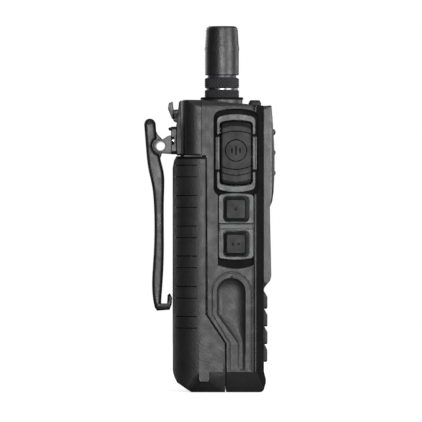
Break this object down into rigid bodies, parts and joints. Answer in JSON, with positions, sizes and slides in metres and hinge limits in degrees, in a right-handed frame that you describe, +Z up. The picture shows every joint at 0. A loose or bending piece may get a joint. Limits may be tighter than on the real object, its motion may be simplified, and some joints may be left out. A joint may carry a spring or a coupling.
{
  "type": "portable radio",
  "caption": "Hand-held two-way radio with a stub antenna, side talk button, keypad, display, sliding battery and a sprung belt clip.",
  "frame": {"origin": "middle of the radio's width on the face it stands on, below the antenna's axis in depth", "axes": "+Z up along the radio, front with the keys towards -Y, talk button side towards -X"},
  "size_m": [0.0618, 0.0556, 0.1542],
  "materials": {
    "shell": "fine spark-eroded grain",
    "trim": "satin",
    "button_rubber": "soft touch",
    "seal_rubber": "matt",
    "cast_case": "black powder coat",
    "black_metal": "black anodised, knurled",
    "bright_metal": "bright",
    "dark_metal": "black oxide",
    "brass": "plated",
    "window": "clear acrylic",
    "lens": "translucent",
    "display": "display glass",
    "board": "solder mask",
    "cell_wrap": "heat-shrink wrap",
    "nylon": "glass-filled nylon"
  },
  "bodies": {
    "radio": {"front_shell": "shell", "front_bezel": "trim", "speaker_grille": "trim", "speaker": "dark_metal", "lcd_window": "window", "lcd_module": "display", "keypad_membrane": "seal_rubber", "main_board": "board", "microphone": "dark_metal", "rear_chassis": "cast_case", "chassis_screws": "bright_metal", "ptt_frame": "trim", "side_button_panel": "trim", "side_switches": "board", "jack_block": "nylon", "alarm_base": "seal_rubber", "status_lens": "lens", "volume_encoder": "dark_metal", "antenna_flange": "black_metal", "antenna_socket": "brass", "antenna_base_ring": "black_metal", "contact_block": "nylon", "contact_springs": "brass", "clip_bracket": "cast_case", "clip_screws": "bright_metal", "clip_pin": "dark_metal", "clip_spring": "bright_metal", "latch_pin": "bright_metal", "latch_spring": "bright_metal"},
    "volume": {"volume_shaft": "bright_metal", "volume_knob": "trim"},
    "alarm": {"alarm_button": "button_rubber"},
    "ptt": {"ptt_button": "button_rubber"},
    "upper_button": {"side_button_upper": "button_rubber"},
    "lower_button": {"side_button_lower": "button_rubber"},
    "cover": {"jack_cover": "button_rubber"},
    "clip": {"clip_lever": "nylon"},
    "latch": {"battery_latch": "nylon"},
    "battery": {"battery_housing": "shell", "battery_lid": "shell", "battery_cells": "cell_wrap", "battery_contacts": "brass"},
    "antenna_lift": {"antenna_seal": "seal_rubber"},
    "antenna": {"antenna_contact_ring": "bright_metal", "antenna_collar": "black_metal", "antenna_core": "brass", "antenna_sheath": "seal_rubber"},
    "key_1_cap": {"key_1": "button_rubber"},
    "key_2_cap": {"key_2": "button_rubber"},
    "key_3_cap": {"key_3": "button_rubber"},
    "key_4_cap": {"key_4": "button_rubber"},
    "key_5_cap": {"key_5": "button_rubber"},
    "key_6_cap": {"key_6": "button_rubber"},
    "key_7_cap": {"key_7": "button_rubber"},
    "key_8_cap": {"key_8": "button_rubber"},
    "key_9_cap": {"key_9": "button_rubber"},
    "key_star_cap": {"key_star": "button_rubber"},
    "key_0_cap": {"key_0": "button_rubber"},
    "key_hash_cap": {"key_hash": "button_rubber"}
  },
  "joints": [
    {"name": "volume_turn", "type": "hinge", "parent": "radio", "child": "volume", "pos_m": [0.015, 0, 0.128], "axis": [0, 0, -1], "range_deg": [0, 270]},
    {"name": "alarm_press", "type": "slide", "parent": "radio", "child": "alarm", "axis": [0, 0, -1], "range_m": [0, 0.0008], "stiffness_N_per_m": 20, "springref_m": -0.05},
    {"name": "ptt_press", "type": "slide", "parent": "radio", "child": "ptt", "axis": [1, 0, 0], "range_m": [0, 0.001], "stiffness_N_per_m": 60, "springref_m": -0.03},
    {"name": "upper_press", "type": "slide", "parent": "radio", "child": "upper_button", "axis": [1, 0, 0], "range_m": [0, 0.0008], "stiffness_N_per_m": 20, "springref_m": -0.05},
    {"name": "lower_press", "type": "slide", "parent": "radio", "child": "lower_button", "axis": [1, 0, 0], "range_m": [0, 0.0008], "stiffness_N_per_m": 20, "springref_m": -0.05},
    {"name": "cover_hinge", "type": "hinge", "parent": "radio", "child": "cover", "pos_m": [0.0289, -0.0054, 0.1109], "axis": [0, -1, 0], "range_deg": [0, 110]},
    {"name": "clip_hinge", "type": "hinge", "parent": "radio", "child": "clip", "pos_m": [0, 0.026, 0.1037], "axis": [1, 0, 0], "range_deg": [0, 20], "stiffness_Nm_per_rad": 0.3, "springref_deg": -28.65},
    {"name": "latch_rock", "type": "hinge", "parent": "radio", "child": "latch", "pos_m": [0, 0.0196, 0.1164], "axis": [1, 0, 0], "range_deg": [0, 4.2], "stiffness_Nm_per_rad": 0.005, "springref_deg": -57.3, "deforming": ["latch_spring"]},
    {"name": "battery_slide", "type": "slide", "parent": "radio", "child": "battery", "axis": [0, 0, -1], "range_m": [0, 0.1]},
    {"name": "antenna_rise", "type": "slide", "parent": "radio", "child": "antenna_lift", "axis": [0, 0, 1], "range_m": [0, 0.0066]},
    {"name": "antenna_turn", "type": "hinge", "parent": "antenna_lift", "child": "antenna", "pos_m": [-0.014, 0, 0.128], "axis": [0, 0, 1], "range_deg": [0, 2970]},
    {"name": "key_1_press", "type": "slide", "parent": "radio", "child": "key_1_cap", "axis": [0, 1, 0], "range_m": [0, 0.0005], "stiffness_N_per_m": 30, "springref_m": -0.03},
    {"name": "key_2_press", "type": "slide", "parent": "radio", "child": "key_2_cap", "axis": [0, 1, 0], "range_m": [0, 0.0005], "stiffness_N_per_m": 30, "springref_m": -0.03},
    {"name": "key_3_press", "type": "slide", "parent": "radio", "child": "key_3_cap", "axis": [0, 1, 0], "range_m": [0, 0.0005], "stiffness_N_per_m": 30, "springref_m": -0.03},
    {"name": "key_4_press", "type": "slide", "parent": "radio", "child": "key_4_cap", "axis": [0, 1, 0], "range_m": [0, 0.0005], "stiffness_N_per_m": 30, "springref_m": -0.03},
    {"name": "key_5_press", "type": "slide", "parent": "radio", "child": "key_5_cap", "axis": [0, 1, 0], "range_m": [0, 0.0005], "stiffness_N_per_m": 30, "springref_m": -0.03},
    {"name": "key_6_press", "type": "slide", "parent": "radio", "child": "key_6_cap", "axis": [0, 1, 0], "range_m": [0, 0.0005], "stiffness_N_per_m": 30, "springref_m": -0.03},
    {"name": "key_7_press", "type": "slide", "parent": "radio", "child": "key_7_cap", "axis": [0, 1, 0], "range_m": [0, 0.0005], "stiffness_N_per_m": 30, "springref_m": -0.03},
    {"name": "key_8_press", "type": "slide", "parent": "radio", "child": "key_8_cap", "axis": [0, 1, 0], "range_m": [0, 0.0005], "stiffness_N_per_m": 30, "springref_m": -0.03},
    {"name": "key_9_press", "type": "slide", "parent": "radio", "child": "key_9_cap", "axis": [0, 1, 0], "range_m": [0, 0.0005], "stiffness_N_per_m": 30, "springref_m": -0.03},
    {"name": "key_star_press", "type": "slide", "parent": "radio", "child": "key_star_cap", "axis": [0, 1, 0], "range_m": [0, 0.0005], "stiffness_N_per_m": 30, "springref_m": -0.03},
    {"name": "key_0_press", "type": "slide", "parent": "radio", "child": "key_0_cap", "axis": [0, 1, 0], "range_m": [0, 0.0005], "stiffness_N_per_m": 30, "springref_m": -0.03},
    {"name": "key_hash_press", "type": "slide", "parent": "radio", "child": "key_hash_cap", "axis": [0, 1, 0], "range_m": [0, 0.0005], "stiffness_N_per_m": 30, "springref_m": -0.03}
  ],
  "couplings": [
    {"joint": "antenna_turn", "follows": "antenna_rise", "rad_per_m": 7854}
  ]
}
